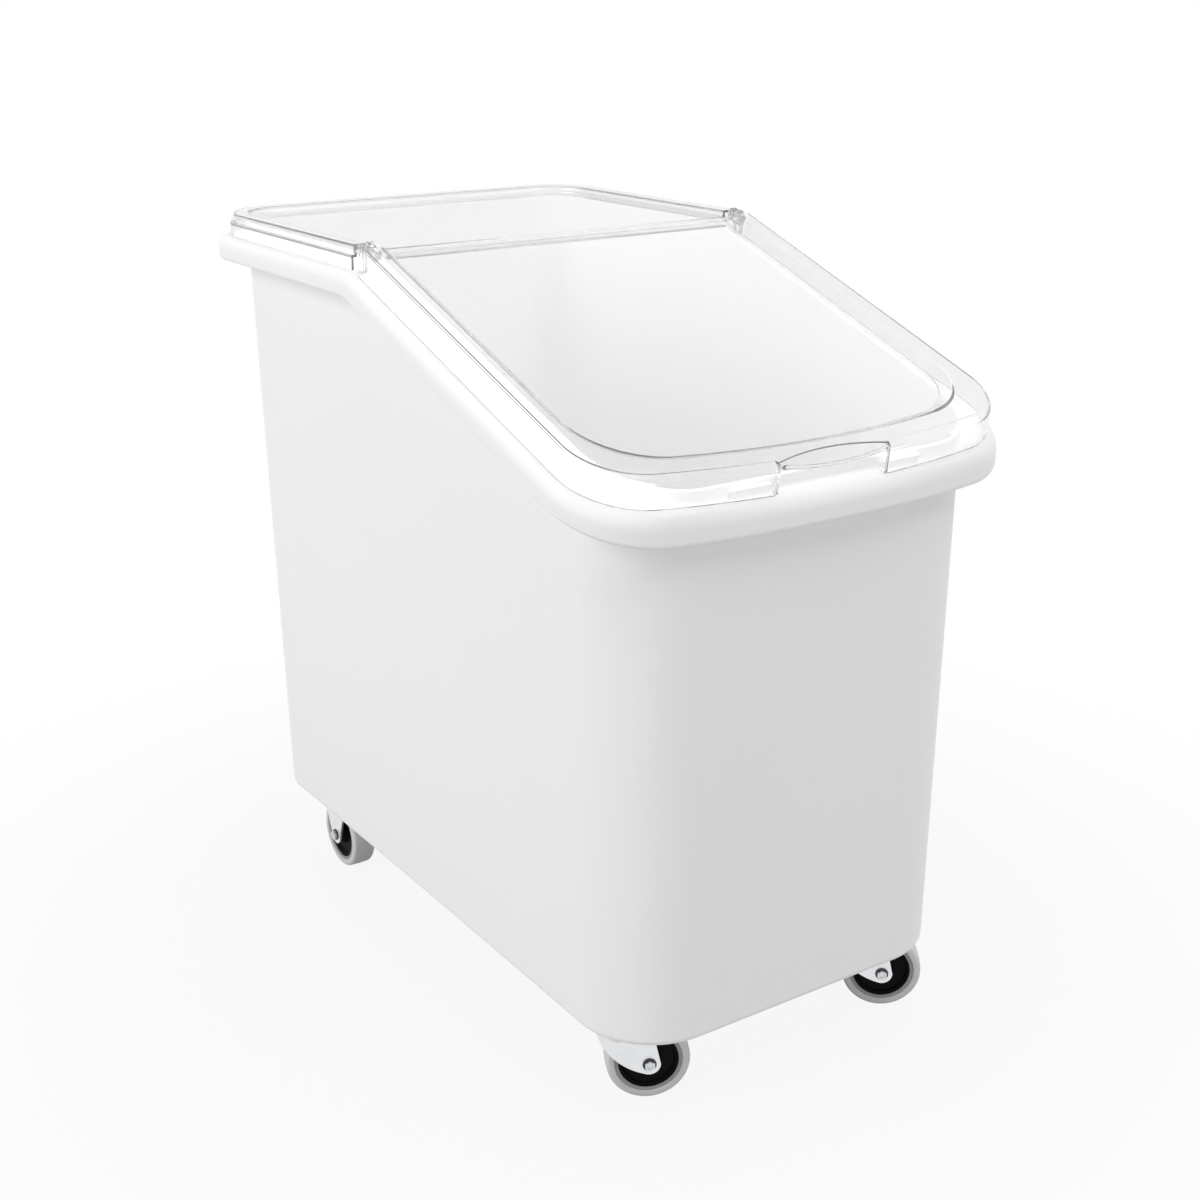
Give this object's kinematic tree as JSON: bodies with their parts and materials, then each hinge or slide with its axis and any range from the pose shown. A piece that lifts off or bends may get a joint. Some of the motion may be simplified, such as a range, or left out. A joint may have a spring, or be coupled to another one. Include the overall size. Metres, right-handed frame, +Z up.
{
  "type": "rolling ingredient bin",
  "caption": "White slant-top bin for dry ingredients with a clear hinged lid in two halves and a finger notch, standing on swivel and rigid plate casters.",
  "frame": {"origin": "on the floor, under the middle of the bin's rim", "axes": "+Z up, -Y towards the low front with the finger notch, +X to the right seen from the front"},
  "size_m": [0.44, 0.7269, 0.718],
  "materials": {
    "bin_white": "satin polyethylene",
    "lid_clear": "clear polycarbonate",
    "zinc_steel": "bright zinc plate",
    "bolt_steel": "zinc plate",
    "insert_brass": "turned",
    "core_black": "satin polypropylene",
    "tyre_grey": "soft grey rubber"
  },
  "bodies": {
    "bin": {"bin_body": "bin_white", "threaded_inserts": "insert_brass", "front_left_top_plate": "zinc_steel", "front_left_plate_screws": "bolt_steel", "front_left_king_pin": "bolt_steel", "front_left_king_nut": "bolt_steel", "front_left_race_balls": "bolt_steel", "front_right_top_plate": "zinc_steel", "front_right_plate_screws": "bolt_steel", "front_right_king_pin": "bolt_steel", "front_right_king_nut": "bolt_steel", "front_right_race_balls": "bolt_steel", "rear_left_rigid_fork": "zinc_steel", "rear_left_plate_screws": "bolt_steel", "rear_left_axle_bolt": "bolt_steel", "rear_left_axle_nut": "bolt_steel", "rear_left_axle_sleeve": "bolt_steel", "rear_right_rigid_fork": "zinc_steel", "rear_right_plate_screws": "bolt_steel", "rear_right_axle_bolt": "bolt_steel", "rear_right_axle_nut": "bolt_steel", "rear_right_axle_sleeve": "bolt_steel"},
    "rear_lid": {"rear_lid": "lid_clear"},
    "front_lid": {"front_lid": "lid_clear"},
    "front_left_swivel": {"front_left_swivel_fork": "zinc_steel", "front_left_axle_bolt": "bolt_steel", "front_left_axle_nut": "bolt_steel", "front_left_axle_sleeve": "bolt_steel"},
    "front_left_wheel": {"front_left_wheel_core": "core_black", "front_left_tyre": "tyre_grey"},
    "front_right_swivel": {"front_right_swivel_fork": "zinc_steel", "front_right_axle_bolt": "bolt_steel", "front_right_axle_nut": "bolt_steel", "front_right_axle_sleeve": "bolt_steel"},
    "front_right_wheel": {"front_right_wheel_core": "core_black", "front_right_tyre": "tyre_grey"},
    "rear_left_wheel": {"rear_left_wheel_core": "core_black", "rear_left_tyre": "tyre_grey"},
    "rear_right_wheel": {"rear_right_wheel_core": "core_black", "rear_right_tyre": "tyre_grey"}
  },
  "joints": [
    {"name": "lid_lift", "type": "slide", "parent": "bin", "child": "rear_lid", "axis": [0, 0, 1], "range_m": [0, 0.15]},
    {"name": "front_lid_hinge", "type": "hinge", "parent": "rear_lid", "child": "front_lid", "pos_m": [0, 0.03, 0.712], "axis": [-1, 0, 0], "range_deg": [0, 115]},
    {"name": "front_left_swivel_turn", "type": "hinge", "parent": "bin", "child": "front_left_swivel", "pos_m": [-0.1365, -0.252, 0.08], "axis": [0, 0, 1], "continuous": true},
    {"name": "front_left_wheel_spin", "type": "hinge", "parent": "front_left_swivel", "child": "front_left_wheel", "pos_m": [-0.11144, -0.26449, 0.0375], "axis": [0.4462, 0.8949, 0], "continuous": true},
    {"name": "front_right_swivel_turn", "type": "hinge", "parent": "bin", "child": "front_right_swivel", "pos_m": [0.1365, -0.252, 0.08], "axis": [0, 0, 1], "continuous": true},
    {"name": "front_right_wheel_spin", "type": "hinge", "parent": "front_right_swivel", "child": "front_right_wheel", "pos_m": [0.15871, -0.26905, 0.0375], "axis": [0.6088, 0.7934, 0], "continuous": true},
    {"name": "rear_left_wheel_spin", "type": "hinge", "parent": "bin", "child": "rear_left_wheel", "pos_m": [-0.1365, 0.273, 0.0375], "axis": [1, 0, 0], "continuous": true},
    {"name": "rear_right_wheel_spin", "type": "hinge", "parent": "bin", "child": "rear_right_wheel", "pos_m": [0.1365, 0.273, 0.0375], "axis": [1, 0, 0], "continuous": true}
  ]
}
